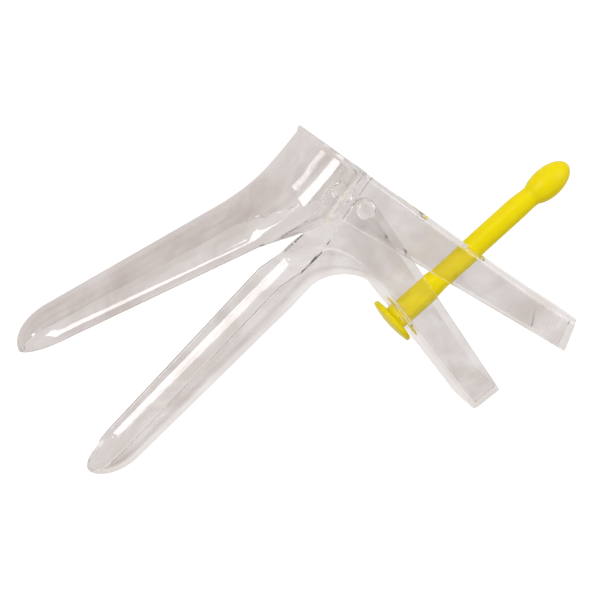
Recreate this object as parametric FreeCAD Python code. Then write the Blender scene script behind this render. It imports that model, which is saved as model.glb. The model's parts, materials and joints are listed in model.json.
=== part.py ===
import FreeCAD, Part
import math
import os

# Bivalve speculum lying on its side, as it does on a tray.
# Three mouldings: two clear valves that turn on studs at the hinge, and a coloured pin
# whose head stays outside the lower handle while its shaft runs in a slot of the upper one.
# Working frame: the hinge axis is Z, +X runs down the upper handle, +Y points out of the
# mouth and the blades point to -Y. The pieces are moved to the bottom centre when written.

V = FreeCAD.Vector
LATERAL = V(0, 0, 1)

# Lower valve: width, wall, and the ears that carry the hinge studs
LOWER_WIDTH = 24.0
WALL = 1.4
EAR_RADIUS = 3.4
STUD_RADIUS = 2.5
STUD_CLEARANCE = 0.05
STUD_INSET = 0.15

# Upper valve: its side walls stand outside the lower valve's ears
EAR_GAP = 0.3
UPPER_WIDTH = LOWER_WIDTH + 2 * (EAR_GAP + WALL)

# Upper blade: a trough that widens from its rounded tip to the mouth
UPPER_ANGLE = 28.3
UPPER_OFFSET = 6.4
UPPER_REACH = 106.6
UPPER_TIP_WIDTH = 24.0
UPPER_ROOT_WIDTH = 38.0
UPPER_TIP_DEPTH = 8.2
UPPER_ROOT_DEPTH = 10.4
UPPER_ROOT_REACH = 33.0
TIP_LENGTH = 14.0

# Mouth of the upper valve: the trough flares to a rim in the plane of the handle's back
BACK_PLANE = 8.9
CHEEK_START = -6.5
CHEEK_LOW = -8.0
MOUTH_WIDTH = 41.6
RIM_TOP = -25.0
MOUTH_END = 20.0
MOUTH_ROUND = 8.0
LIP = 0.5
LIP_HEIGHT = 1.6

# Upper handle: a channel, open towards the lower handle
UPPER_HANDLE_LENGTH = 76.0
FLANGE_START = -6.3
UPPER_END_SLANT = 2.6
HANDLE_ROUND = 2.2
CURL = 0.9
CURL_START = 50.0

# Slot of the upper handle for the pin
SLOT_CENTRE = 38.1
SLOT_LENGTH = 9.2
SLOT_WIDTH = 7.4

# Lower blade: a trough a little longer than the upper one, widest at its root
LOWER_ANGLE = 8.2
LOWER_OFFSET = 3.0
LOWER_REACH = 110.2
LOWER_TIP_WIDTH = 25.0
LOWER_ROOT_WIDTH = 27.0
LOWER_TIP_DEPTH = 7.6
LOWER_ROOT_DEPTH = 10.2
LOWER_ROOT_REACH = 36.0
THROAT_RADIUS = 13.0
CROWN_FLAT = 1.0
LEAN = 3.0
TIP_FULLNESS = 0.85
TIP_RISE = 1.25
THROAT_EASE = 0.6

# Lower handle: a channel, open towards the upper handle
HANDLE_ANGLE = 16.2
HANDLE_OFFSET = 10.45
LOWER_HANDLE_LENGTH = 70.0
FLANGE_DROP = 4.2

# Locking pin: a lens-shaped head outside the lower handle, a shaft and a bulb to grip
PIN_LEAN = 13.0
PIN_SEAT = 36.0
HOLE_LENGTH = 9.8
HOLE_WIDTH = 8.1
HEAD_RADIUS = 7.5
HEAD_GAP = 1.0
HEAD_DISH = 0.45
HEAD_RIM = 1.5
HEAD_DOME = 0.8
ROOT_RADIUS = 3.8
ROOT_LENGTH = 12.0
SHAFT_RADIUS = 3.45
SHAFT_START = 17.0
NECK_START = 47.0
NECK_RADIUS = 3.2
BULB_MIDDLE = 59.2
BULB_LENGTH = 16.6
BULB_WIDTH = 9.2
BULB_SHIFT = 0.5

# How far a cutting shape runs past what it cuts
PAST = 3.0


def direction(angle):
    """Unit vector in the XY plane, angle in degrees from +X."""
    return V(math.cos(math.radians(angle)), math.sin(math.radians(angle)), 0)


def mix(start, end, share):
    return start + (end - start) * share


def stretched(shape, columns, origin):
    """Map a unit shape by three columns and an origin."""
    a, b, c = columns
    return shape.transformGeometry(FreeCAD.Matrix(
        a.x, b.x, c.x, origin.x,
        a.y, b.y, c.y, origin.y,
        a.z, b.z, c.z, origin.z,
        0, 0, 0, 1))


def elliptical_arc(centre, across, up, start, end):
    """Arc from start to end degrees; 0 is at +across, 90 at +up."""
    unit = Part.makeCircle(1, V(), LATERAL, start, end)
    return stretched(unit, (across, up, across.cross(up)), centre)


def closed_by_arms(edges, outward, arms):
    """Wire of the edges, with two straight arms against outward and a closing line."""
    first = edges[0].Vertexes[0].Point
    last = edges[-1].Vertexes[-1].Point
    if arms == 0:
        return Part.Wire(edges + [Part.makeLine(last, first)])
    step = outward * -arms
    return Part.Wire(edges + [
        Part.makeLine(last, last + step),
        Part.makeLine(last + step, first + step),
        Part.makeLine(first + step, first)])


def arch(chord, crown, widest, ends, wall=0.0, arms=0.0):
    """Section of the upper trough: an ellipse cut off where it is as wide as its two ends."""
    outward = (crown - chord).normalize()
    half = widest / 2
    sweep = 180 - math.degrees(math.asin(min(1.0, ends / widest)))
    rise = (crown - chord).Length / (1 - math.cos(math.radians(sweep)))
    centre = crown - outward * rise
    inner_sweep = 180 - math.degrees(math.asin(min(1.0, (ends / 2 - wall) / (half - wall))))
    third = inner_sweep * 2 / 3
    edges = []
    for start in (-inner_sweep, -third / 2, third / 2):
        edges.append(elliptical_arc(centre, outward * (rise - wall), LATERAL * (half - wall),
                                    start, start + third))
    return closed_by_arms(edges, outward, arms)


def gutter(chord, crown, width, corner, wall=0.0, arms=20.0):
    """Section of the lower valve: rounded corners, flat web, sides leaning in to the ears."""
    outward = (crown - chord).normalize()
    depth = (crown - chord).Length - wall
    half = width / 2 - wall
    side = corner[0] - wall
    rise = corner[1] - wall
    base = chord + outward * (depth - rise)
    across = LATERAL * (half - side)
    right = elliptical_arc(base - across, LATERAL * -side, outward * rise, 0, 90)
    left = elliptical_arc(base + across, LATERAL * -side, outward * rise, 90, 180)
    web = Part.makeLine(right.Vertexes[-1].Point, left.Vertexes[0].Point)
    lean = chord - outward * LEAN
    far = chord - outward * arms
    ear = LATERAL * (LOWER_WIDTH / 2 - wall)
    corners = [left.Vertexes[-1].Point, lean + ear, far + ear, far - ear, lean - ear,
               right.Vertexes[0].Point]
    return Part.Wire([right, web, left] + [
        Part.makeLine(start, end) for start, end in zip(corners, corners[1:])])


def slab(edges, width):
    """Solid of the given width, centred on the middle plane."""
    face = Part.Face(Part.Wire(edges))
    face.translate(V(0, 0, -width / 2))
    return face.extrude(V(0, 0, width))


def outline(points):
    """Closed polygon edges; a group of three points in the list is an arc through them."""
    edges = []
    count = len(points)
    for index, item in enumerate(points):
        following = points[(index + 1) % count]
        start = item[-1] if isinstance(item, tuple) else item
        end = following[0] if isinstance(following, tuple) else following
        if isinstance(item, tuple):
            edges.append(Part.Arc(*item).toShape())
        if (end - start).Length > 1e-6:
            edges.append(Part.makeLine(start, end))
    return edges


def oblong(length, width):
    """Slot outline in the XY plane, centred on the origin, long along X."""
    reach = (length - width) / 2
    half = width / 2
    return Part.Wire(outline([
        V(-reach, -half, 0),
        (V(reach, -half, 0), V(reach + half, 0, 0), V(reach, half, 0)),
        (V(-reach, half, 0), V(-reach - half, 0, 0), V(-reach, -half, 0))]))


def cut_through(length, width, along, outward, place):
    """Slot-shaped plug through a web, long in the direction given."""
    plug = Part.Face(oblong(length, width)).extrude(V(0, 0, 2 * PAST))
    turn = FreeCAD.Rotation(along, outward.cross(along), outward, "XZY")
    plug.Placement = FreeCAD.Placement(place - outward * PAST, turn)
    return plug


# Directions along the blades towards the tips, and from the edges to the crowns
UPPER_ALONG = direction(-90 - UPPER_ANGLE)
UPPER_OUT = direction(180 - UPPER_ANGLE)
LOWER_ALONG = direction(-90 - LOWER_ANGLE)
LOWER_OUT = direction(-LOWER_ANGLE)
HANDLE_ALONG = direction(-HANDLE_ANGLE)
HANDLE_OUT = direction(-90 - HANDLE_ANGLE)


def on_upper_edge(reach):
    return UPPER_OUT * UPPER_OFFSET + UPPER_ALONG * reach


def on_lower_edge(reach):
    return LOWER_OUT * -LOWER_OFFSET + LOWER_ALONG * reach


def tip_steps(wall):
    """Distance past the start of a rounded tip, and the section's scale there."""
    steps = []
    for angle in (87, 78, 67, 54, 40, 26, 13):
        turn = math.radians(angle)
        steps.append(((TIP_LENGTH - wall) * math.sin(turn), math.cos(turn)))
    return steps


def mouth_section(share, wall, arms):
    """Section of the mouth: 0 at the blade's root, 1 where the cheeks begin, 2 at the rim."""
    root = on_upper_edge(UPPER_ROOT_REACH)
    low = V(CHEEK_START + 0.2, CHEEK_LOW, 0)
    top = V(CHEEK_START + 0.2, BACK_PLANE, 0)
    chord = mix(root, low, share) if share < 1 else mix(low, top, share - 1)
    crown_root = root + UPPER_OUT * UPPER_ROOT_DEPTH
    bend = crown_root + UPPER_ALONG * -((RIM_TOP - 0.7 - crown_root.x) / -UPPER_ALONG.x)
    half = share / 2
    crown = mix(mix(crown_root, bend, half), mix(bend, V(RIM_TOP, BACK_PLANE, 0), half), half)
    widest = mix(UPPER_ROOT_WIDTH, MOUTH_WIDTH, 1 - (1 - half) ** 2)
    ends = mix(UPPER_ROOT_WIDTH, UPPER_WIDTH - 0.2, min(1.0, share) ** 1.6)
    return arch(chord, crown, widest, ends, wall, arms)


def upper_trough(wall=0.0, arms=0.0):
    """Upper blade and mouth, from the rounded tip up to the rim."""
    start = UPPER_REACH - TIP_LENGTH
    sections = []
    for distance, scale in tip_steps(wall):
        place = on_upper_edge(start + distance)
        width = (UPPER_TIP_WIDTH - 2 * wall) * scale
        crown = place + UPPER_OUT * ((UPPER_TIP_DEPTH - wall) * scale)
        sections.append(arch(place, crown, width, width, 0.0, arms))
    place = on_upper_edge(start)
    crown = place + UPPER_OUT * UPPER_TIP_DEPTH
    sections.append(arch(place, crown, UPPER_TIP_WIDTH, UPPER_TIP_WIDTH, wall, arms))
    for share in (0, 0.25, 0.5, 0.75, 1, 1.25, 1.5, 1.75, 2):
        sections.append(mouth_section(share, wall, arms))
    solid = Part.makeLoft(sections, True, True)
    if wall:
        solid = solid.fuse(Part.Face(sections[-1]).extrude(V(0, PAST, 0)))
    return solid


def rim_lip():
    """Band that thickens the rim of the mouth."""
    band = arch(V(CHEEK_START, BACK_PLANE, 0), V(RIM_TOP - LIP, BACK_PLANE, 0),
                MOUTH_WIDTH + 2 * LIP, UPPER_WIDTH - 0.1)
    return Part.Face(band).extrude(V(0, -LIP_HEIGHT, 0))


def upper_channel():
    """Cheeks and handle of the upper valve, before hollowing."""
    end = UPPER_HANDLE_LENGTH
    curl_end = V(end - UPPER_END_SLANT, BACK_PLANE + CURL, 0)
    curl_middle = V(mix(CURL_START, end, 0.5), BACK_PLANE + CURL * 0.27, 0)
    solid = slab(outline([
        V(CHEEK_START - 0.4, CHEEK_LOW, 0),
        V(-5.0, FLANGE_START, 0),
        V(end, 0, 0),
        (curl_end, curl_middle, V(CURL_START, BACK_PLANE, 0)),
        V(CHEEK_START - 0.4, BACK_PLANE, 0)]), UPPER_WIDTH)
    long_edges = []
    for edge in solid.Edges:
        box = edge.BoundBox
        on_back = box.YMin > BACK_PLANE - 0.1 and box.ZLength < 0.01
        if on_back and box.XLength > 10:
            long_edges.append(edge)
    return solid.makeFillet(HANDLE_ROUND, long_edges)


def upper_hollow():
    """Space inside the cheeks and the handle, and the mouth's opening through the back."""
    end = UPPER_HANDLE_LENGTH - WALL
    back = BACK_PLANE - WALL
    start = CHEEK_START - 2.0
    curl_end = V(end - UPPER_END_SLANT, back + CURL, 0)
    curl_middle = V(mix(CURL_START, end, 0.5), back + CURL * 0.27, 0)
    channel = slab(outline([
        V(start, CHEEK_LOW - PAST, 0),
        V(end + PAST * 0.3, -PAST, 0),
        (curl_end, curl_middle, V(CURL_START, back, 0)),
        V(start, back, 0)]), UPPER_WIDTH - 2 * WALL)
    half = UPPER_WIDTH / 2 - WALL
    bend = elliptical_arc(V(MOUTH_END - MOUTH_ROUND, 0, 0), V(MOUTH_ROUND, 0, 0),
                          V(0, 0, half), -90, 90)
    first = bend.Vertexes[0].Point
    last = bend.Vertexes[-1].Point
    corners = [V(start, 0, half), V(start, 0, -half)]
    sides = [
        Part.makeLine(last, corners[0]),
        Part.makeLine(corners[0], corners[1]),
        Part.makeLine(corners[1], first)]
    mouth = Part.Face(Part.Wire([bend] + sides)).extrude(V(0, BACK_PLANE + PAST, 0))
    return channel.fuse(mouth)


def hinge_cylinder(radius, half_width):
    return Part.makeCylinder(radius, 2 * half_width, V(0, 0, -half_width), LATERAL)


def upper_valve():
    """Upper blade, mouth, cheeks and handle in one clear moulding."""
    solid = upper_trough().fuse([rim_lip(), upper_channel()])
    hollow = upper_trough(WALL, 24.0).fuse(upper_hollow())
    solid = solid.cut(hollow)
    slot = cut_through(SLOT_LENGTH, SLOT_WIDTH, V(1, 0, 0), V(0, 1, 0),
                       V(SLOT_CENTRE, BACK_PLANE, 0))
    holes = hinge_cylinder(STUD_RADIUS + STUD_CLEARANCE, UPPER_WIDTH)
    return solid.cut([slot, holes]).removeSplitter()


def lower_trough(wall=0.0):
    """Lower blade, throat and handle as one rounded trough, open above."""
    start = LOWER_REACH - TIP_LENGTH
    tip_side = (LOWER_TIP_WIDTH - CROWN_FLAT) / 2
    sections = []
    for distance, scale in tip_steps(wall):
        place = on_lower_edge(start + distance)
        width = (LOWER_TIP_WIDTH - 2 * wall) * scale ** TIP_FULLNESS
        depth = (LOWER_TIP_DEPTH - wall) * scale ** TIP_RISE
        corner = (width * (tip_side - wall) / (LOWER_TIP_WIDTH - 2 * wall), depth)
        sections.append(gutter(place, place + LOWER_OUT * depth, width, corner))
    for reach, width, depth in ((start, LOWER_TIP_WIDTH, LOWER_TIP_DEPTH),
                                (LOWER_ROOT_REACH, LOWER_ROOT_WIDTH, LOWER_ROOT_DEPTH)):
        place = on_lower_edge(reach)
        crown = place + LOWER_OUT * depth
        sections.append(gutter(place, crown, width, ((width - CROWN_FLAT) / 2, depth), wall))
    centre = throat_centre()
    for step in range(1, 9):
        share = step / 8
        outward = direction(mix(180 - LOWER_ANGLE, 90 - HANDLE_ANGLE, share))
        ease = (share * share * (3 - 2 * share)) ** THROAT_EASE
        width = mix(LOWER_ROOT_WIDTH, LOWER_WIDTH, ease)
        corner = (mix((width - CROWN_FLAT) / 2, HANDLE_ROUND, ease),
                  mix(LOWER_ROOT_DEPTH, HANDLE_ROUND, ease))
        crown = centre + outward * THROAT_RADIUS
        sections.append(gutter(crown + outward * LOWER_ROOT_DEPTH, crown, width, corner, wall))
    step = HANDLE_ALONG * (LOWER_HANDLE_LENGTH + PAST - centre.dot(HANDLE_ALONG))
    handle_end = sections[-1].copy()
    handle_end.translate(step)
    return Part.makeLoft(sections + [handle_end], True, True)


def throat_centre():
    """Centre of the arc between the blade's back and the handle's web."""
    blade = LOWER_ROOT_DEPTH - LOWER_OFFSET + THROAT_RADIUS
    handle = HANDLE_OFFSET + THROAT_RADIUS
    cross = LOWER_OUT.x * HANDLE_OUT.y - LOWER_OUT.y * HANDLE_OUT.x
    x = (blade * HANDLE_OUT.y - handle * LOWER_OUT.y) / cross
    y = (LOWER_OUT.x * handle - HANDLE_OUT.x * blade) / cross
    return V(x, y, 0)


def lower_profile(wall=0.0):
    """Side view of the lower valve, its back left open for the loft to shape."""
    end = LOWER_HANDLE_LENGTH - wall
    inward = HANDLE_OUT * -1
    tip = LOWER_REACH + PAST
    if wall:
        first = on_lower_edge(tip) - LOWER_OUT * PAST
        top = [V(-PAST - 8, -30, 0), V(-PAST - 8, 12, 0)]
        flange = [HANDLE_ALONG * end + inward * 12]
    else:
        first = on_lower_edge(tip)
        lobe = (V(-EAR_RADIUS, 0, 0), direction(135) * EAR_RADIUS, inward * EAR_RADIUS)
        top = [on_lower_edge(LOWER_ROOT_REACH - 3), V(-5.2, -25.5, 0), V(-3.4, -17.0, 0), lobe]
        flange = [HANDLE_ALONG * end + inward * (EAR_RADIUS - FLANGE_DROP)]
    back = [
        HANDLE_ALONG * end + HANDLE_OUT * (HANDLE_OFFSET + PAST),
        HANDLE_ALONG * 20 + HANDLE_OUT * (HANDLE_OFFSET + PAST),
        on_lower_edge(LOWER_ROOT_REACH) + LOWER_OUT * 22,
        on_lower_edge(tip) + LOWER_OUT * 22]
    return outline([first] + top + flange + back)


def lower_valve():
    """Lower blade, ears, throat and handle in one clear moulding."""
    shell = slab(lower_profile(), LOWER_ROOT_WIDTH + PAST).common(lower_trough())
    hollow = slab(lower_profile(WALL), LOWER_ROOT_WIDTH + PAST).common(lower_trough(WALL))
    solid = shell.cut(hollow)
    studs = hinge_cylinder(STUD_RADIUS, UPPER_WIDTH / 2 - STUD_INSET).cut(
        hinge_cylinder(STUD_RADIUS + PAST, LOWER_WIDTH / 2 - WALL / 2))
    hole = cut_through(HOLE_LENGTH, HOLE_WIDTH, HANDLE_ALONG, HANDLE_OUT,
                       HANDLE_ALONG * PIN_SEAT + HANDLE_OUT * HANDLE_OFFSET)
    return solid.fuse(studs).cut(hole).removeSplitter()


def locking_pin():
    """Head, shaft and bulb turned about the pin's axis."""
    low = -HEAD_GAP - HEAD_DISH - HEAD_RIM
    sphere = (HEAD_RADIUS ** 2 + HEAD_DOME ** 2) / (2 * HEAD_DOME)
    half_turn = math.asin(HEAD_RADIUS / sphere) / 2
    rise = sphere * (1 - math.cos(half_turn)) - HEAD_DOME
    profile = outline([
        (V(0, low - HEAD_DOME, 0), V(sphere * math.sin(half_turn), low + rise, 0),
         V(HEAD_RADIUS, low, 0)),
        (V(HEAD_RADIUS, low + HEAD_RIM, 0),
         V(HEAD_RADIUS * 0.74, -HEAD_GAP - HEAD_DISH * 0.55, 0),
         V(ROOT_RADIUS, -HEAD_GAP, 0)),
        V(ROOT_RADIUS, ROOT_LENGTH, 0),
        V(SHAFT_RADIUS, SHAFT_START, 0),
        V(SHAFT_RADIUS, NECK_START, 0),
        V(NECK_RADIUS, NECK_START + 5.0, 0),
        V(NECK_RADIUS, BULB_MIDDLE, 0),
        V(0, BULB_MIDDLE, 0)])
    solid = Part.Face(Part.Wire(profile)).revolve(V(), V(0, 1, 0), 360)
    half = BULB_WIDTH / 2
    bulb = stretched(Part.makeSphere(1), (V(half, 0, 0), V(0, BULB_LENGTH / 2, 0), V(0, 0, half)),
                     V(BULB_SHIFT, BULB_MIDDLE, 0))
    solid = solid.fuse(bulb)
    turn = FreeCAD.Rotation(LATERAL, -PIN_LEAN)
    seat = HANDLE_ALONG * PIN_SEAT + HANDLE_OUT * HANDLE_OFFSET
    solid.Placement = FreeCAD.Placement(seat, turn)
    return solid


def write_all():
    pieces = {
        "upper_valve": upper_valve(),
        "lower_valve": lower_valve(),
        "locking_pin": locking_pin()}
    whole = Part.makeCompound(list(pieces.values())).optimalBoundingBox()
    shift = V(-whole.Center.x, -whole.Center.y, -whole.ZMin)
    os.makedirs("parts", exist_ok=True)
    for name, shape in pieces.items():
        shape.translate(shift)
        shape.exportStep("parts/" + name + ".step")
        print(name, shape.isValid(), len(shape.Solids), round(shape.Volume, 1))
    print("hinge axis at", round(shift.x, 3), round(shift.y, 3), "middle plane", round(shift.z, 3))
    print("size", whole.XLength, whole.YLength, whole.ZLength)


write_all()
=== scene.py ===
import json
import math

import bmesh
import bpy
from mathutils import Matrix, Vector


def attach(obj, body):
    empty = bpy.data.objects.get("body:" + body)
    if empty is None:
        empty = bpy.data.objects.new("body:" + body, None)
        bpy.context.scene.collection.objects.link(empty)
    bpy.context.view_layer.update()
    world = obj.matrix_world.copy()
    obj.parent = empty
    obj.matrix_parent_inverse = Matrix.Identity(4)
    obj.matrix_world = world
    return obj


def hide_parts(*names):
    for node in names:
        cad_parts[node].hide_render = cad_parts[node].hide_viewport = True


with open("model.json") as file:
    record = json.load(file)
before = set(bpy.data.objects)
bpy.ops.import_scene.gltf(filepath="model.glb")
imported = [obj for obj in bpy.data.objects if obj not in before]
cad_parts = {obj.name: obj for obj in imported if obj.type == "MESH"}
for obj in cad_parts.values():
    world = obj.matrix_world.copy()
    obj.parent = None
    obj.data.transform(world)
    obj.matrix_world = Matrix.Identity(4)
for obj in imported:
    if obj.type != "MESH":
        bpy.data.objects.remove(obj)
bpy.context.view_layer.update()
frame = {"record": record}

# Table top.
# Matt white card under the part. The lens sees it pure white, as in a catalogue cut-out,
# and through the clear plastic it shows a painted shade: a pale grey glow, darker under the blades.
card_half = 3.0
card_glow = 0.82
card_shadow_tone = (0.36, 0.36, 0.36, 1)
card_bounce_tone = (0.8, 0.8, 0.8, 1)
# Painted shade of the card seen through the plastic: grey under the blades, paler under the
# handles.
painted_shade_by_blades, painted_shade_by_handles = (0.71, 0.66, 0.64, 1), (0.85, 0.815, 0.795, 1)
blades_end, handles_end = -0.05, 0.03
tooth_scale, tooth_strength, tooth_depth = 900.0, 0.05, 0.0002


def made(nodes, kind, values=None, **settings):
    """New node with its settings, then plain values on the sockets that are named."""
    node = nodes.new(kind)
    for name, value in settings.items():
        setattr(node, name, value)
    for name, value in (values or {}).items():
        node.inputs[name].default_value = value
    return node


def placed(name, data):
    """New object in the scene that holds a mesh, a lamp or a camera."""
    piece = bpy.data.objects.new(name, data)
    bpy.context.scene.collection.objects.link(piece)
    return piece


card_mesh = bpy.data.meshes.new("table_top")
card_mesh.from_pydata([(-card_half, -card_half, 0), (card_half, -card_half, 0),
                       (card_half, card_half, 0), (-card_half, card_half, 0)], [], [(0, 1, 2, 3)])
card = placed("table_top", card_mesh)
white_card = bpy.data.materials.new("white_card")
white_card.use_nodes = True
nodes = white_card.node_tree.nodes
links = white_card.node_tree.links
nodes.clear()
paths = made(nodes, "ShaderNodeLightPath")
paper = made(nodes, "ShaderNodeTexNoise", {"Scale": tooth_scale})
tooth = made(nodes, "ShaderNodeBump", {"Strength": tooth_strength, "Distance": tooth_depth})
glow = made(nodes, "ShaderNodeEmission", {"Color": (1, 1, 1, 1), "Strength": card_glow})
shaded = made(nodes, "ShaderNodeBsdfDiffuse", {"Color": card_shadow_tone})
seen_white = made(nodes, "ShaderNodeAddShader")
where = made(nodes, "ShaderNodeTexCoord")
spots = made(nodes, "ShaderNodeSeparateXYZ")
# Painted shade: glossy and transmission rays see the card glow grey, darker under the blades than
# under the handles.
falloff = made(nodes, "ShaderNodeMapRange", {"From Min": blades_end, "From Max": handles_end},
               interpolation_type="SMOOTHSTEP")
painted_shades = made(nodes, "ShaderNodeMix", {"A": painted_shade_by_blades, "B": painted_shade_by_handles}, data_type="RGBA")
painted_shade_seen_through = made(nodes, "ShaderNodeEmission", {"Strength": 1.0})
matt = made(nodes, "ShaderNodeBsdfDiffuse", {"Color": card_bounce_tone})
either = made(nodes, "ShaderNodeMath", operation="MAXIMUM")
through = made(nodes, "ShaderNodeMixShader")
straight = made(nodes, "ShaderNodeMixShader")
output = made(nodes, "ShaderNodeOutputMaterial")
links.new(where.outputs["Object"], spots.inputs["Vector"])
links.new(spots.outputs["X"], falloff.inputs["Value"])
links.new(falloff.outputs["Result"], painted_shades.inputs["Factor"])
links.new(painted_shades.outputs["Result"], painted_shade_seen_through.inputs["Color"])
links.new(paper.outputs["Fac"], tooth.inputs["Height"])
links.new(tooth.outputs["Normal"], shaded.inputs["Normal"])
links.new(glow.outputs["Emission"], seen_white.inputs[0])
links.new(shaded.outputs["BSDF"], seen_white.inputs[1])
links.new(paths.outputs["Is Transmission Ray"], either.inputs[0])
links.new(paths.outputs["Is Glossy Ray"], either.inputs[1])
links.new(either.outputs[0], through.inputs["Fac"])
links.new(matt.outputs["BSDF"], through.inputs[1])
links.new(painted_shade_seen_through.outputs["Emission"], through.inputs[2])
links.new(paths.outputs["Is Camera Ray"], straight.inputs["Fac"])
links.new(through.outputs["Shader"], straight.inputs[1])
links.new(seen_white.outputs["Shader"], straight.inputs[2])
links.new(straight.outputs["Shader"], output.inputs["Surface"])
card_mesh.materials.append(white_card)

# Upper valve.
# One clear polystyrene moulding: the wide blade, the flared mouth with its lip, the two flat
# cheeks with the hinge holes and the long channel handle, all in a 1.4 mm wall.
# Sizes are in millimetres from the hinge, x down the upper handle and y out of the mouth.
hinge = Vector(frame["record"]["behaviour"]["joints"][0]["pos_m"])
wall = 1.4
past = 3.0  # how far a cutting tool overshoots the face that it cuts

# Blade
upper_slope = 28.3
upper_edge_offset = 6.4
upper_reach = 106.6
upper_tip_width, upper_tip_depth = 24.0, 8.2
upper_root_width, upper_root_depth = 38.0, 10.4
upper_root_reach = 33.0
tip_length = 14.0
tip_angles = (88, 84, 79, 74, 68, 62, 55, 48, 40, 32, 24, 16, 8)

# Mouth and cheeks
back_plane = 8.9
cheek_start, cheek_low = -6.5, -8.0
cheek_width = 27.4
mouth_half = cheek_width / 2 - wall
hollow_start = cheek_start - 2.0
mouth_width = 41.6
mouth_foot = 4.5
rim_top = -25.0
rim_bend = 0.7
lip, lip_height, lip_skin = 0.5, 1.6, 0.02
mouth_end, mouth_round = 20.0, 8.0
overlap = 0.2

# Handle
flange_start, flange_height = -5.0, -6.3
upper_handle_end = 76.0
end_slant, slant_start = 2.6, 30.0
curl, curl_start = 0.9, 50.0
handle_round, hollow_round = 2.2, 0.8
end_wall_lean = 0.9
slot_middle, slot_length, slot_width = 38.1, 9.2, 7.4
hole_radius = 2.55
edge_round, edge_angle, crease_angle = 0.35, 50, 32


def direction(angle):
    """Unit vector in the plane of the handles, in degrees from +x."""
    return Vector((math.cos(math.radians(angle)), math.sin(math.radians(angle)), 0))


def mix(start, end, share):
    """Number or point part of the way from start to end."""
    return start + (end - start) * share


def ease(share):
    """Share that starts and ends softly, held between 0 and 1."""
    share = min(1.0, max(0.0, share))
    return share * share * (3 - 2 * share)


def steps(count, start=0.0, end=1.0):
    """Even steps from start to end, both included."""
    return [mix(start, end, index / count) for index in range(count + 1)]


across = Vector((0, 0, 1))
upper_along = direction(-90 - upper_slope)
upper_out = direction(180 - upper_slope)


def on_upper_edge(reach):
    """Point on the blade's open edge, that far from the hinge."""
    return upper_out * upper_edge_offset + upper_along * reach


def arch(chord, crown, widest, ends, inset, arms, foot):
    """Section of the upper trough as a closed ring; foot turns its ends flat into the cheeks."""
    outward = (crown - chord).normalized()
    half = widest / 2
    sweep = 180 - math.degrees(math.asin(min(1.0, ends / widest)))
    rise = (crown - chord).length / (1 - math.cos(math.radians(sweep)))
    centre = crown - outward * rise
    half_end = ends / 2 - inset
    inner = 180 - math.degrees(math.asin(min(1.0, half_end / (half - inset))))
    ring = []
    for angle in steps(64, -inner, inner):
        turn = math.radians(angle)
        point = centre + outward * ((rise - inset) * math.cos(turn))
        side = (half - inset) * math.sin(turn)
        height = (point - chord).dot(outward)
        if foot > 0 and height < foot:
            # Below the foot, a curve leads from the round wall down to a straight end.
            limit = math.acos((foot + (chord - centre).dot(outward)) / (rise - inset))
            top = (half - inset) * math.sin(limit)
            slope = -(half - inset) * math.cos(limit) / ((rise - inset) * math.sin(limit)) * foot
            share = height / foot
            width = (half_end * (2 * share ** 3 - 3 * share ** 2 + 1)
                     + top * (3 * share ** 2 - 2 * share ** 3) + slope * (share ** 3 - share ** 2))
            side = math.copysign(width, side)
        ring.append(point + across * side)
    if arms:
        step = outward * -arms
        ring = [ring[0] + step] + ring + [ring[-1] + step]
    return ring


def mouth_section(share, inset, arms):
    """Section of the mouth: 0 at the blade's root, 1 where the cheeks begin, 2 at the rim."""
    root = on_upper_edge(upper_root_reach)
    low = Vector((cheek_start + overlap, cheek_low, 0))
    top = Vector((cheek_start + overlap, back_plane, 0))
    chord = mix(root, low, share) if share < 1 else mix(low, top, share - 1)
    crown_root = root + upper_out * upper_root_depth
    rim = Vector((rim_top, back_plane, 0))
    bend = crown_root + upper_along * ((rim_top - rim_bend - crown_root.x) / upper_along.x)
    half = share / 2
    crown = mix(mix(crown_root, bend, half), mix(bend, rim, half), half)
    widest = mix(upper_root_width, mouth_width, 1 - (1 - half) ** 2)
    ends = mix(upper_root_width, cheek_width - overlap, min(1.0, share) ** 1.6)
    foot = mouth_foot * ease((share - 0.55) / 0.6)
    return arch(chord, crown, widest, ends, inset, arms, foot)


def loft(name, rings):
    """Closed solid through rings of equal count, its ends capped, placed in metres."""
    shape = bmesh.new()
    levels = [[shape.verts.new(hinge + point / 1000) for point in ring] for ring in rings]
    count = len(rings[0])
    for lower, upper in zip(levels, levels[1:]):
        for index in range(count):
            after = (index + 1) % count
            shape.faces.new((lower[index], lower[after], upper[after], upper[index]))
    shape.faces.new(levels[0][::-1])
    shape.faces.new(levels[-1])
    bmesh.ops.recalc_face_normals(shape, faces=shape.faces)
    mesh = bpy.data.meshes.new(name)
    shape.to_mesh(mesh)
    shape.free()
    return placed(name, mesh)


def worked(solid, operation, tools):
    """The solid after each tool is joined, cut or kept in common; the tools are used up."""
    for tool in tools:
        step = solid.modifiers.new(operation, "BOOLEAN")
        step.operation = operation
        step.solver = "EXACT"
        step.object = tool
    graph = bpy.context.evaluated_depsgraph_get()
    mesh = bpy.data.meshes.new_from_object(solid.evaluated_get(graph))
    solid.modifiers.clear()
    old = solid.data
    solid.data = mesh
    bpy.data.meshes.remove(old)
    for tool in tools:
        spent = tool.data
        bpy.data.objects.remove(tool)
        bpy.data.meshes.remove(spent)
    return solid


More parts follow.
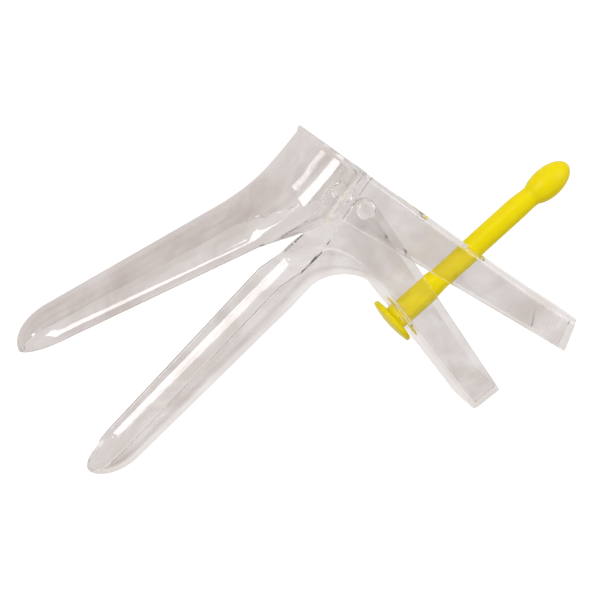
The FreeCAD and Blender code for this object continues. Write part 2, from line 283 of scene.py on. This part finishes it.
def softened(solid):
    """Rounds the edges of a finished valve and shades its curves smooth and its walls flat.

    Slivers and pinholes that the cuts leave are mended first. Faces of many corners are divided,
    except the flat sides, where the dividing lines would show.
    """
    sliver, pinhole_sides, plain_corners, side_view = 0.000002, 6, 4, 0.9
    shape = bmesh.new()
    shape.from_mesh(solid.data)
    bmesh.ops.remove_doubles(shape, verts=shape.verts, dist=sliver)
    bmesh.ops.dissolve_degenerate(shape, edges=shape.edges, dist=sliver)
    rims = [line for line in shape.edges if line.is_boundary]
    bmesh.ops.holes_fill(shape, edges=rims, sides=pinhole_sides)
    bmesh.ops.triangulate(shape, faces=[
        face for face in shape.faces
        if len(face.verts) > plain_corners and abs(face.normal.z) < side_view])
    crease = math.radians(crease_angle)
    for face in shape.faces:
        face.smooth = True
    for line in shape.edges:
        line.smooth = len(line.link_faces) == 2 and line.calc_face_angle(0) < crease
    shape.to_mesh(solid.data)
    shape.free()
    rounding = solid.modifiers.new("edges", "BEVEL")
    rounding.width = edge_round / 1000
    rounding.segments = 3
    rounding.limit_method = "ANGLE"
    rounding.angle_limit = math.radians(edge_angle)
    rounding.use_clamp_overlap = False
    rounding.harden_normals = False
    shading = solid.modifiers.new("flats", "WEIGHTED_NORMAL")
    shading.mode = "FACE_AREA"
    shading.weight = 100
    shading.keep_sharp = True
    graph = bpy.context.evaluated_depsgraph_get()
    mesh = bpy.data.meshes.new_from_object(solid.evaluated_get(graph))
    solid.modifiers.clear()
    solid.data = mesh
    return solid


def upper_trough(name, inset, arms):
    """Blade and mouth from the rounded tip to the rim, or the hollow in them."""
    start = upper_reach - tip_length
    rings = []
    for angle in tip_angles:
        turn = math.radians(angle)
        chord = on_upper_edge(start + (tip_length - inset) * math.sin(turn))
        width = (upper_tip_width - 2 * inset) * math.cos(turn)
        crown = chord + upper_out * ((upper_tip_depth - inset) * math.cos(turn))
        rings.append(arch(chord, crown, width, width, 0.0, arms, 0.0))
    for share in steps(26)[:-1]:
        chord = on_upper_edge(mix(start, upper_root_reach, share))
        crown = chord + upper_out * mix(upper_tip_depth, upper_root_depth, share)
        width = mix(upper_tip_width, upper_root_width, share)
        rings.append(arch(chord, crown, width, width, inset, arms, 0.0))
    for share in steps(30, 0, 2):
        rings.append(mouth_section(share, inset, arms))
    if inset:
        rings.append([point + Vector((0, past, 0)) for point in rings[-1]])
    return loft(name, rings)


def mouth_lip():
    """Rounded band that thickens the rim of the mouth."""
    rings = []
    for share in steps(8):
        out = lip * math.sin(math.pi * mix(0.12, 0.8, share)) + lip_skin
        ring = arch(Vector((cheek_start, back_plane, 0)), Vector((rim_top - out, back_plane, 0)),
                    mouth_width + 2 * out, cheek_width - overlap / 2, 0.0, 0.0, mouth_foot)
        rings.append([point - Vector((0, lip_height * (1 - share), 0)) for point in ring])
    return loft("mouth_lip", rings)


def back_of_channel(x):
    """Height of the handle's back, which curls up towards its end."""
    run = upper_handle_end - end_slant - curl_start
    return back_plane + curl * max(0.0, (x - curl_start) / run) ** 2


def channel_ring(x_front, x_back, low, back, half, corner):
    """U-shaped channel section, its two long corners at the back rounded."""
    ring = [Vector((x_front, low, -half))]
    for middle, first in ((-half + corner, 180), (half - corner, 90)):
        for angle in steps(8, first, first - 90):
            turn = math.radians(angle)
            ring.append(Vector((0, back - corner + corner * math.sin(turn),
                                middle + corner * math.cos(turn))))
    ring.append(Vector((x_front, low, half)))
    for point in ring[1:-1]:
        point.x = mix(x_front, x_back, (point.y - low) / (back - low))
    return ring


def slanted(x):
    """Share of the end's slant that a section at x already has."""
    return ease((x - slant_start) / (upper_handle_end - slant_start))


def upper_channel():
    """Cheeks and handle before they are hollowed."""
    start = cheek_start - 2 * overlap
    rings = []
    for x in [start, flange_start] + steps(30, flange_start + 2.0, upper_handle_end):
        if x < flange_start:
            low = mix(cheek_low, flange_height, (x - start) / (flange_start - start))
        else:
            low = mix(flange_height, 0, (x - flange_start) / (upper_handle_end - flange_start))
        back_x = x - end_slant * slanted(x)
        rings.append(channel_ring(x, back_x, low, back_of_channel(back_x),
                                  cheek_width / 2, handle_round))
    return loft("channel", rings)


def upper_hollow():
    """Space inside the cheeks and the handle."""
    end = upper_handle_end - wall
    rings = []
    for x in steps(32, hollow_start, end):
        back_x = x - end_slant * slanted(x)
        rings.append(channel_ring(x + end_wall_lean * slanted(x), back_x, cheek_low - past,
                                  back_of_channel(back_x) - wall, mouth_half, hollow_round))
    return loft("hollow", rings)


def prism(name, outline, start, end, axis):
    """Straight solid between two planes across the axis."""
    return loft(name, [[point + axis * start for point in outline],
                       [point + axis * end for point in outline]])


def oblong(length, width, along, side):
    """Slot outline, long in one direction."""
    reach = (length - width) / 2
    ring = []
    for end, first in ((reach, -90), (-reach, 90)):
        for angle in steps(16, first, first + 180):
            turn = math.radians(angle)
            ring.append(along * (end + width / 2 * math.cos(turn))
                        + side * (width / 2 * math.sin(turn)))
    return ring


up = Vector((0, 1, 0))
mouth_outline = [Vector((hollow_start, 0, mouth_half)), Vector((hollow_start, 0, -mouth_half))]
for angle in steps(32, -90, 90):
    turn = math.radians(angle)
    mouth_outline.append(Vector((mouth_end - mouth_round + mouth_round * math.cos(turn), 0,
                                 mouth_half * math.sin(turn))))
slot_outline = [point + Vector((slot_middle, 0, 0))
                for point in oblong(slot_length, slot_width, Vector((1, 0, 0)), across)]
round_hole = [direction(angle) * hole_radius for angle in steps(48, 0, 360)[:-1]]

upper_valve = upper_trough("clear_upper_valve", 0.0, 0.0)
worked(upper_valve, "UNION", [mouth_lip(), upper_channel()])
worked(upper_valve, "DIFFERENCE", [
    upper_trough("blade_hollow", wall, past),
    upper_hollow(),
    prism("mouth_opening", mouth_outline, 0.0, back_plane + past, up),
    prism("slot", slot_outline, back_plane - past, back_plane + past, up),
    prism("hinge_holes", round_hole, -cheek_width, cheek_width, across)])
softened(upper_valve)

clear_tint, mark_tint = (0.985, 0.98, 0.98), (0.85, 0.815, 0.80)
upper_mark_size = 34.0
polystyrene_ior = 1.55
passing_tint = (0.97, 0.965, 0.96, 1)
most_reflections, most_bounces = 2.5, 8.5


def flow_marks_group():
    """Cloudy marks, long flow lines and faint waviness that the melt leaves in a moulding."""
    group = bpy.data.node_groups.new("flow_marks", "ShaderNodeTree")
    for name, kind, value in (("Vector", "NodeSocketVector", (0, 0, 0)),
                              ("Clear Tint", "NodeSocketColor", (1, 1, 1, 1)),
                              ("Mark Tint", "NodeSocketColor", (0.9, 0.9, 0.9, 1)),
                              ("Mark Size", "NodeSocketFloat", 60.0),
                              ("Gloss", "NodeSocketFloat", 0.03),
                              ("Wave Depth", "NodeSocketFloat", 0.1)):
        socket = group.interface.new_socket(name, in_out="INPUT", socket_type=kind)
        socket.default_value = value
    group.interface.new_socket("Color", in_out="OUTPUT", socket_type="NodeSocketColor")
    group.interface.new_socket("Roughness", in_out="OUTPUT", socket_type="NodeSocketFloat")
    group.interface.new_socket("Normal", in_out="OUTPUT", socket_type="NodeSocketVector")
    mark_start, mark_full, mark_haze = 0.42, 0.62, 0.04
    flow_stretch = (0.08, 1.0, 1.0)
    wave_scale, wave_distance = 260.0, 0.0006
    nodes = group.nodes
    links = group.links
    given = made(nodes, "NodeGroupInput")
    result = made(nodes, "NodeGroupOutput")
    cloud = made(nodes, "ShaderNodeTexNoise",
                 {"Detail": 4.0, "Roughness": 0.6, "Distortion": 1.2})
    spread = made(nodes, "ShaderNodeMapRange", {"From Min": mark_start, "From Max": mark_full})
    tint = made(nodes, "ShaderNodeMix", data_type="RGBA")
    lengthen = made(nodes, "ShaderNodeVectorMath", {1: flow_stretch}, operation="MULTIPLY")
    wave = made(nodes, "ShaderNodeTexNoise", {"Scale": wave_scale, "Detail": 1.5})
    bump = made(nodes, "ShaderNodeBump", {"Distance": wave_distance})
    gloss = made(nodes, "ShaderNodeMath", {1: mark_haze}, operation="MULTIPLY_ADD")
    links.new(given.outputs["Vector"], cloud.inputs["Vector"])
    links.new(given.outputs["Mark Size"], cloud.inputs["Scale"])
    links.new(given.outputs["Vector"], lengthen.inputs[0])
    links.new(lengthen.outputs["Vector"], wave.inputs["Vector"])
    links.new(cloud.outputs["Fac"], spread.inputs["Value"])
    links.new(spread.outputs["Result"], tint.inputs["Factor"])
    links.new(given.outputs["Clear Tint"], tint.inputs["A"])
    links.new(given.outputs["Mark Tint"], tint.inputs["B"])
    links.new(tint.outputs["Result"], result.inputs["Color"])
    links.new(spread.outputs["Result"], gloss.inputs[0])
    links.new(given.outputs["Gloss"], gloss.inputs[2])
    links.new(gloss.outputs["Value"], result.inputs["Roughness"])
    links.new(wave.outputs["Fac"], bump.inputs["Height"])
    links.new(given.outputs["Wave Depth"], bump.inputs["Strength"])
    links.new(bump.outputs["Normal"], result.inputs["Normal"])
    return group


def clear_polystyrene(name, flow_angle, mark_size):
    """Clear moulding plastic; lamps shine through it, and long-trapped light passes on unbent."""
    material = bpy.data.materials.new(name)
    material.use_nodes = True
    nodes = material.node_tree.nodes
    links = material.node_tree.links
    shader = nodes["Principled BSDF"]
    shader.inputs["IOR"].default_value = polystyrene_ior
    shader.inputs["Transmission Weight"].default_value = 1.0
    place = made(nodes, "ShaderNodeTexCoord")
    along = made(nodes, "ShaderNodeMapping", {"Rotation": (0, 0, -math.radians(flow_angle))})
    marks = made(nodes, "ShaderNodeGroup",
                 {"Clear Tint": (*clear_tint, 1), "Mark Tint": (*mark_tint, 1),
                  "Mark Size": mark_size}, node_tree=flow_marks)
    paths = made(nodes, "ShaderNodeLightPath")
    trapped = made(nodes, "ShaderNodeMath", {1: most_reflections}, operation="GREATER_THAN")
    deep = made(nodes, "ShaderNodeMath", {1: most_bounces}, operation="GREATER_THAN")
    both = made(nodes, "ShaderNodeMath", operation="MAXIMUM")
    passing = made(nodes, "ShaderNodeMath", operation="MAXIMUM")
    unbent = made(nodes, "ShaderNodeBsdfTransparent", {"Color": passing_tint})
    either = made(nodes, "ShaderNodeMixShader")
    links.new(place.outputs["Object"], along.inputs["Vector"])
    links.new(along.outputs["Vector"], marks.inputs["Vector"])
    links.new(marks.outputs["Color"], shader.inputs["Base Color"])
    links.new(marks.outputs["Roughness"], shader.inputs["Roughness"])
    links.new(marks.outputs["Normal"], shader.inputs["Normal"])
    links.new(paths.outputs["Glossy Depth"], trapped.inputs[0])
    links.new(paths.outputs["Ray Depth"], deep.inputs[0])
    links.new(trapped.outputs["Value"], both.inputs[0])
    links.new(deep.outputs["Value"], both.inputs[1])
    links.new(both.outputs["Value"], passing.inputs[0])
    links.new(paths.outputs["Is Shadow Ray"], passing.inputs[1])
    links.new(passing.outputs["Value"], either.inputs["Fac"])
    links.new(shader.outputs["BSDF"], either.inputs[1])
    links.new(unbent.outputs["BSDF"], either.inputs[2])
    links.new(either.outputs["Shader"], nodes["Material Output"].inputs["Surface"])
    return material


flow_marks = flow_marks_group()
upper_clear = clear_polystyrene("upper_clear_polystyrene", -90 - upper_slope, upper_mark_size)
upper_valve.data.materials.clear()
upper_valve.data.materials.append(upper_clear)
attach(upper_valve, "upper_valve")
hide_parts("upper_valve")

# Lower valve.
# One clear polystyrene moulding: the narrower blade runs round the throat into its handle,
# and two ears carry the studs that snap into the upper valve's cheeks.
# Blade, ears and throat
lower_slope = 8.2
lower_edge_offset = 3.0
lower_reach = 110.2
lower_tip_width, lower_tip_depth = 25.0, 7.6
lower_root_width, lower_root_depth = 27.0, 10.2
lower_root_reach = 36.0
ear_width = 24.0
ear_radius = 3.4
ear_lean = 3.0
ear_reach = 20.0
ear_front = ((-5.2, -25.5), (-3.4, -17.0))
throat_radius, throat_reach = 13.0, 20.0
turn_before_root = 3.0
clear_in_front, clear_below, clear_above, clear_of_back = 8.0, 30.0, 12.0, 22.0
crown_flat = 1.0

# Handle and studs
handle_slope = 16.2
handle_offset = 10.45
lower_handle_end = 70.0
flange_drop = 4.2
pin_seat = 36.0
pin_hole_length, pin_hole_width = 9.8, 8.1
stud_radius, stud_root = 2.5, 0.7
stud_step, stud_shoulder, stud_dome = 0.15, 0.45, 0.75
lower_mark_size = 40.0

lower_along = direction(-90 - lower_slope)
lower_out = direction(-lower_slope)
handle_along = direction(-handle_slope)
handle_out = direction(-90 - handle_slope)


def on_lower_edge(reach):
    """Point on the blade's open edge, that far from the hinge."""
    return lower_out * -lower_edge_offset + lower_along * reach


def gutter(chord, crown, width, corner, inset):
    """Section of the lower valve: rounded corners and web, its sides easing in to the ears."""
    outward = (crown - chord).normalized()
    depth = (crown - chord).length - inset
    half = width / 2 - inset
    side = corner[0] - inset
    rise = corner[1] - inset
    base = chord + outward * (depth - rise)
    ear = ear_width / 2 - inset
    half_ring = []
    for share in steps(4):
        half_ring.append((base + outward * rise, (half - side) * share))
    for angle in steps(24, 90, 0)[1:]:
        turn = math.radians(angle)
        half_ring.append((base + outward * (rise * math.sin(turn)),
                          half - side + side * math.cos(turn)))
    lean = ear_lean + depth - rise
    for share in steps(8)[1:]:
        half_ring.append((base - outward * (lean * share), mix(half, ear, ease(share))))
    half_ring.append((base - outward * (ear_reach + depth - rise), ear))
    right = [point - across * width_here for point, width_here in reversed(half_ring)]
    left = [point + across * width_here for point, width_here in half_ring]
    return right[:-1] + left


def throat_centre():
    """Centre of the arc between the blade's back and the handle's web."""
    blade = lower_root_depth - lower_edge_offset + throat_radius
    handle = handle_offset + throat_radius
    cross = lower_out.x * handle_out.y - lower_out.y * handle_out.x
    return Vector(((blade * handle_out.y - handle * lower_out.y) / cross,
                   (lower_out.x * handle - handle_out.x * blade) / cross, 0))


def lower_trough(name, inset):
    """Blade, throat and handle as one trough, open above."""
    start = lower_reach - tip_length
    tip_share = (lower_tip_width - crown_flat - 2 * inset) / (lower_tip_width - 2 * inset) / 2
    rings = []
    for angle in tip_angles:
        turn = math.radians(angle)
        chord = on_lower_edge(start + (tip_length - inset) * math.sin(turn))
        width = (lower_tip_width - 2 * inset) * math.cos(turn) ** 0.85
        depth = (lower_tip_depth - inset) * math.cos(turn) ** 1.25
        corner = (width * tip_share, depth)
        rings.append(gutter(chord, chord + lower_out * depth, width, corner, 0.0))
    for share in steps(30):
        chord = on_lower_edge(mix(start, lower_root_reach, share))
        width = mix(lower_tip_width, lower_root_width, share)
        depth = mix(lower_tip_depth, lower_root_depth, share)
        corner = ((width - crown_flat) / 2, depth)
        rings.append(gutter(chord, chord + lower_out * depth, width, corner, inset))
    centre = throat_centre()
    for share in steps(30):
        outward = direction(mix(180 - lower_slope, 90 - handle_slope, share))
        turned = ease(share) ** 0.6
        width = mix(lower_root_width, ear_width, turned)
        corner = (mix((width - crown_flat) / 2, handle_round, turned),
                  mix(lower_root_depth, handle_round, turned))
        crown = centre + outward * throat_radius
        rings.append(gutter(crown + outward * lower_root_depth, crown, width, corner, inset))
    far = handle_along * (lower_handle_end + past - centre.dot(handle_along))
    rings.append([point + far for point in rings[-1]])
    return loft(name, rings)


def lower_profile(inset):
    """Side view of the lower valve; its back is left to the trough."""
    end = lower_handle_end - inset
    tip = lower_reach + past
    below_web = handle_out * (handle_offset + past)
    behind_blade = lower_out * clear_of_back
    if inset:
        front = [on_lower_edge(tip) - lower_out * past,
                 Vector((-past - clear_in_front, -clear_below, 0)),
                 Vector((-past - clear_in_front, clear_above, 0)),
                 handle_along * end - handle_out * clear_above]
    else:
        front = [on_lower_edge(tip), on_lower_edge(lower_root_reach - turn_before_root)]
        front += [Vector((x, y, 0)) for x, y in ear_front]
        front += [direction(angle) * ear_radius for angle in steps(20, 180, 90 - handle_slope)]
        front.append(handle_along * end - handle_out * (ear_radius - flange_drop))
    return front + [handle_along * end + below_web, handle_along * throat_reach + below_web,
                    on_lower_edge(lower_root_reach) + behind_blade,
                    on_lower_edge(tip) + behind_blade]


def stud(side):
    """Domed hinge stud on one ear."""
    shoulder = cheek_width / 2 - stud_step - stud_shoulder
    rings = [(stud_radius, ear_width / 2 - stud_root), (stud_radius, shoulder)]
    for angle in steps(8, 8, 84):
        turn = math.radians(angle)
        rings.append((stud_radius * math.cos(turn), shoulder + stud_dome * math.sin(turn)))
    return loft("stud", [[direction(angle) * radius + across * (side * height)
                          for angle in steps(48, 0, 360)[:-1]] for radius, height in rings])


half_slab = (lower_root_width + past) / 2
lower_valve = lower_trough("clear_lower_valve", 0.0)
lower_hollow = lower_trough("lower_hollow", wall)
for solid, inset in ((lower_valve, 0.0), (lower_hollow, wall)):
    side_view = prism("side_view", lower_profile(inset), -half_slab, half_slab, across)
    worked(solid, "INTERSECT", [side_view])
worked(lower_valve, "DIFFERENCE", [lower_hollow])
worked(lower_valve, "UNION", [stud(1), stud(-1)])
seat = handle_along * pin_seat + handle_out * handle_offset
pin_hole = [seat + point for point in oblong(pin_hole_length, pin_hole_width, handle_along, across)]
worked(lower_valve, "DIFFERENCE", [prism("pin_hole", pin_hole, -past, past, handle_out)])
softened(lower_valve)
lower_clear = clear_polystyrene("lower_clear_polystyrene", -90 - lower_slope, lower_mark_size)
lower_valve.data.materials.clear()
lower_valve.data.materials.append(lower_clear)
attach(lower_valve, "lower_valve")
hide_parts("lower_valve")

# Locking pin.
# Coloured plastic, moulded in one: a lens-shaped head, a round shaft and an egg-shaped grip.
# It is pushed through the hole in the lower handle and the slot in the upper one.
head_radius, head_back, head_rim, head_dome = 7.5, -1.45, 1.5, 0.8
head_gap = 1.0
rim_round = 0.4
root_radius, root_fillet, root_end = 3.8, 0.5, 12.0
shaft_radius, shaft_start, shaft_end = 3.45, 17.0, 47.0
neck_radius, neck_start = 3.2, 52.0
grip_middle, grip_length, grip_width, grip_shift = 59.2, 16.6, 9.2, 0.5
pin_lean = 13.0
steps_round = 72
bright_yellow, deep_yellow = (0.88, 0.715, 0.0, 1), (0.82, 0.655, 0.0, 1)
yellow_specular = 0.15
smoothest, roughest = 0.22, 0.40
swirl_scale, grain_scale = 90.0, 2500.0
grain_strength, grain_depth = 0.08, 0.0001


def pin_profile():
    """Half outline of the pin as radius and place along it, from the head's middle to the tip."""
    line = []
    edge = head_radius - rim_round
    front = head_back - head_rim
    for share in steps(10)[:-1]:
        line.append((edge * share, front - head_dome * (1 - share * share)))
    for angle in steps(10, -90, 90):
        turn = math.radians(angle)
        line.append((edge + rim_round * math.cos(turn),
                     (front + head_back) / 2 + head_rim / 2 * math.sin(turn)))
    foot = root_radius + root_fillet
    for share in steps(4)[1:]:
        line.append((mix(edge, foot, share), mix(head_back, -head_gap, share ** 0.8)))
    for angle in steps(5, 270, 180)[1:]:
        turn = math.radians(angle)
        line.append((foot + root_fillet * math.cos(turn),
                     root_fillet - head_gap + root_fillet * math.sin(turn)))
    for radii, reach in (((root_radius, shaft_radius), (root_end, shaft_start)),
                         ((shaft_radius, neck_radius), (shaft_end, neck_start))):
        for share in steps(8):
            line.append((mix(*radii, ease(share)), mix(*reach, share)))
    first = math.degrees(math.asin(neck_radius / grip_width * 2))
    for angle in steps(24, first, 180):
        turn = math.radians(angle)
        line.append((grip_width / 2 * math.sin(turn),
                     grip_middle - grip_length / 2 * math.cos(turn)))
    return line


def turned_tree():
    """Geometry Nodes tree that turns a row of points about z, and leans its far end sideways."""
    tree = bpy.data.node_groups.new("turned_moulding", "GeometryNodeTree")
    face = tree.interface
    face.new_socket("Outline", in_out="INPUT", socket_type="NodeSocketGeometry")
    for name, kind, value in (("Steps Round", "NodeSocketInt", 64),
                              ("Lean Start", "NodeSocketFloat", 0.0),
                              ("Lean End", "NodeSocketFloat", 1.0),
                              ("Lean", "NodeSocketFloat", 0.0)):
        face.new_socket(name, in_out="INPUT", socket_type=kind).default_value = value
    face.new_socket("Finish", in_out="INPUT", socket_type="NodeSocketMaterial")
    face.new_socket("Moulding", in_out="OUTPUT", socket_type="NodeSocketGeometry")
    nodes = tree.nodes
    links = tree.links

    def maths(operation, first, second=None):
        node = nodes.new("ShaderNodeMath")
        node.operation = operation
        for socket, value in ((node.inputs[0], first), (node.inputs[1], second)):
            if isinstance(value, (int, float)):
                socket.default_value = value
            elif value is not None:
                links.new(value, socket)
        return node.outputs["Value"]

    given = made(nodes, "NodeGroupInput")
    result = made(nodes, "NodeGroupOutput")
    count = made(nodes, "GeometryNodeAttributeDomainSize")
    links.new(given.outputs["Outline"], count.inputs["Geometry"])
    grid = made(nodes, "GeometryNodeMeshGrid")
    links.new(maths("ADD", given.outputs["Steps Round"], 1), grid.inputs["Vertices X"])
    links.new(count.outputs["Point Count"], grid.inputs["Vertices Y"])
    spot = made(nodes, "GeometryNodeInputPosition")
    parts = made(nodes, "ShaderNodeSeparateXYZ")
    links.new(spot.outputs["Position"], parts.inputs["Vector"])
    turn = maths("MULTIPLY", maths("ADD", parts.outputs["X"], 0.5), math.tau)
    row = maths("ROUND", maths("MULTIPLY", maths("ADD", parts.outputs["Y"], 0.5),
                               maths("SUBTRACT", count.outputs["Point Count"], 1)))
    sample = made(nodes, "GeometryNodeSampleIndex", data_type="FLOAT_VECTOR")
    links.new(given.outputs["Outline"], sample.inputs["Geometry"])
    links.new(spot.outputs["Position"], sample.inputs["Value"])
    links.new(row, sample.inputs["Index"])
    outline = made(nodes, "ShaderNodeSeparateXYZ")
    links.new(sample.outputs["Value"], outline.inputs["Vector"])
    lean = made(nodes, "ShaderNodeMapRange", interpolation_type="SMOOTHSTEP")
    links.new(outline.outputs["Z"], lean.inputs["Value"])
    links.new(given.outputs["Lean Start"], lean.inputs["From Min"])
    links.new(given.outputs["Lean End"], lean.inputs["From Max"])
    links.new(given.outputs["Lean"], lean.inputs["To Max"])
    place = made(nodes, "ShaderNodeCombineXYZ")
    round_x = maths("MULTIPLY", outline.outputs["X"], maths("COSINE", turn))
    links.new(maths("ADD", round_x, lean.outputs["Result"]), place.inputs["X"])
    links.new(maths("MULTIPLY", outline.outputs["X"], maths("SINE", turn)), place.inputs["Y"])
    links.new(outline.outputs["Z"], place.inputs["Z"])
    chain = grid.outputs["Mesh"]
    for kind, sockets in (("GeometryNodeSetPosition", (("Position", place.outputs["Vector"]),)),
                          ("GeometryNodeMergeByDistance", (("Distance", 0.000002),)),
                          ("GeometryNodeSetShadeSmooth", ()),
                          ("GeometryNodeRealizeInstances", ()),
                          ("GeometryNodeSetMaterial", (("Material", given.outputs["Finish"]),))):
        node = nodes.new(kind)
        links.new(chain, node.inputs[0])
        for name, value in sockets:
            if isinstance(value, float):
                node.inputs[name].default_value = value
            else:
                links.new(value, node.inputs[name])
        chain = node.outputs[0]
    links.new(chain, result.inputs["Moulding"])
    return tree


yellow = bpy.data.materials.new("yellow_moulded_plastic")
yellow.use_nodes = True
nodes = yellow.node_tree.nodes
links = yellow.node_tree.links
shader = nodes["Principled BSDF"]
shader.inputs["Specular IOR Level"].default_value = yellow_specular
place = made(nodes, "ShaderNodeTexCoord")
swirl = made(nodes, "ShaderNodeTexNoise", {"Scale": swirl_scale, "Detail": 4.0})
shade = made(nodes, "ShaderNodeMix", {"A": bright_yellow, "B": deep_yellow}, data_type="RGBA")
grain = made(nodes, "ShaderNodeTexNoise", {"Scale": grain_scale, "Detail": 2.0})
sheen = made(nodes, "ShaderNodeMapRange", {"To Min": smoothest, "To Max": roughest})
skin = made(nodes, "ShaderNodeBump", {"Strength": grain_strength, "Distance": grain_depth})
links.new(place.outputs["Object"], swirl.inputs["Vector"])
links.new(place.outputs["Object"], grain.inputs["Vector"])
links.new(swirl.outputs["Fac"], shade.inputs["Factor"])
links.new(shade.outputs["Result"], shader.inputs["Base Color"])
links.new(swirl.outputs["Fac"], sheen.inputs["Value"])
links.new(sheen.outputs["Result"], shader.inputs["Roughness"])
links.new(grain.outputs["Fac"], skin.inputs["Height"])
links.new(skin.outputs["Normal"], shader.inputs["Normal"])

outline_mesh = bpy.data.meshes.new("pin_outline")
outline_mesh.from_pydata([(radius / 1000, 0, along / 1000) for radius, along in pin_profile()],
                         [], [])
locking_pin = placed("yellow_locking_pin", outline_mesh)
turning = locking_pin.modifiers.new("turning", "NODES")
turning.node_group = turned_tree()
sizes = {"Steps Round": steps_round, "Lean Start": shaft_end / 1000,
         "Lean End": grip_middle / 1000, "Lean": grip_shift / 1000, "Finish": yellow}
for socket in turning.node_group.interface.items_tree:
    if socket.in_out == "INPUT" and socket.name in sizes:
        turning[socket.identifier] = sizes[socket.name]
graph = bpy.context.evaluated_depsgraph_get()
turned = bpy.data.meshes.new_from_object(locking_pin.evaluated_get(graph))
locking_pin.modifiers.clear()
locking_pin.data = turned
pin_side = direction(-pin_lean)
pin_axis = Vector((-pin_side.y, pin_side.x, 0))
pin_place = hinge + seat / 1000
turned.transform(Matrix(((pin_side.x, 0, pin_axis.x, pin_place.x),
                         (pin_side.y, 0, pin_axis.y, pin_place.y),
                         (0, 1, 0, pin_place.z),
                         (0, 0, 0, 1))))
shape = bmesh.new()
shape.from_mesh(turned)
bmesh.ops.recalc_face_normals(shape, faces=shape.faces)
shape.to_mesh(turned)
shape.free()
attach(locking_pin, "locking_pin")
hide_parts("locking_pin")

# Studio light.
# A pale room, darker at its foot and overhead and nearly black where a dark card stands beside
# the part, so that the clear edges have something to show. The lens sees plain white.
room_levels = ((0.04, 0.40), (0.30, 0.85), (0.78, 0.70), (0.93, 0.28))
cool = 1.01
dark_card_way, dark_card_tone = (0.88, -0.47, -0.6), (0.03, 0.03, 0.03, 1)
dark_card_edge, dark_card_full = 0.45, 0.75
world = bpy.data.worlds.new("studio")
bpy.context.scene.world = world
world.use_nodes = True
nodes = world.node_tree.nodes
links = world.node_tree.links
room = nodes["Background"]
room.inputs["Strength"].default_value = 1.0
place = made(nodes, "ShaderNodeTexCoord")
parts = made(nodes, "ShaderNodeSeparateXYZ")
room_tone = made(nodes, "ShaderNodeValToRGB")
room_tone.color_ramp.interpolation = "EASE"
stops = room_tone.color_ramp.elements
for height, level in room_levels:
    stops.new(height).color = (level, level, level * cool, 1)
stops.remove(stops[0])
stops.remove(stops[-1])
card_side = made(nodes, "ShaderNodeVectorMath", {1: dark_card_way}, operation="DOT_PRODUCT")
card_reach = made(nodes, "ShaderNodeMapRange",
                  {"From Min": dark_card_edge, "From Max": dark_card_full},
                  interpolation_type="SMOOTHSTEP")
tone = made(nodes, "ShaderNodeMix", {"B": dark_card_tone}, data_type="RGBA")
paths = made(nodes, "ShaderNodeLightPath")
backdrop = made(nodes, "ShaderNodeBackground", {"Color": (1, 1, 1, 1), "Strength": 1.0})
seen = made(nodes, "ShaderNodeMixShader")
links.new(place.outputs["Generated"], parts.inputs["Vector"])
links.new(parts.outputs["Z"], room_tone.inputs["Fac"])
links.new(place.outputs["Generated"], card_side.inputs[0])
links.new(card_side.outputs["Value"], card_reach.inputs["Value"])
links.new(card_reach.outputs["Result"], tone.inputs["Factor"])
links.new(room_tone.outputs["Color"], tone.inputs["A"])
links.new(tone.outputs["Result"], room.inputs["Color"])
links.new(paths.outputs["Is Camera Ray"], seen.inputs["Fac"])
links.new(room.outputs["Background"], seen.inputs[1])
links.new(backdrop.outputs["Background"], seen.inputs[2])
links.new(seen.outputs["Shader"], nodes["World Output"].inputs["Surface"])


def soft_box(name, azimuth, elevation, distance, width, height, power):
    """Rectangular lamp aimed at the hinge from a direction in degrees."""
    lamp = bpy.data.lights.new(name, "AREA")
    lamp.shape = "RECTANGLE"
    lamp.size = width
    lamp.size_y = height
    lamp.energy = power
    level = distance * math.cos(math.radians(elevation))
    offset = direction(azimuth) * level + across * (distance * math.sin(math.radians(elevation)))
    holder = placed(name, lamp)
    holder.location = hinge + offset
    holder.rotation_euler = (-offset).to_track_quat("-Z", "Y").to_euler()


soft_box("key_soft_box", azimuth=75, elevation=48, distance=1.3,
         width=1.2, height=0.5, power=4.6)
soft_box("window_soft_box", azimuth=182, elevation=42, distance=1.1,
         width=0.38, height=0.75, power=4.0)
soft_box("strip_soft_box", azimuth=158, elevation=42, distance=1.2,
         width=0.1, height=0.16, power=0.2)

# Camera.
# A long lens above the blades' side, where the photograph was taken from. Its place is in
# metres from the hinge, and the columns of its turn are the picture's right, up and back.
lens, sensor = 178.5, 36.0
camera_place = Vector((-0.27286, 0.00881, 0.825))
camera_turn = ((0.77952677, -0.5397272, -0.3178562, 0),
               (0.58167674, 0.81201996, 0.04770498, 0),
               (0.23235791, -0.22207687, 0.94693805, 0),
               (0, 0, 0, 1))
camera_data = bpy.data.cameras.new("camera")
camera_data.sensor_width = sensor
camera_data.lens = lens
camera = placed("camera", camera_data)
camera.matrix_world = Matrix.Translation(hinge + camera_place) @ Matrix(camera_turn)
bpy.context.scene.camera = camera
bpy.context.scene.view_settings.view_transform = "Standard"
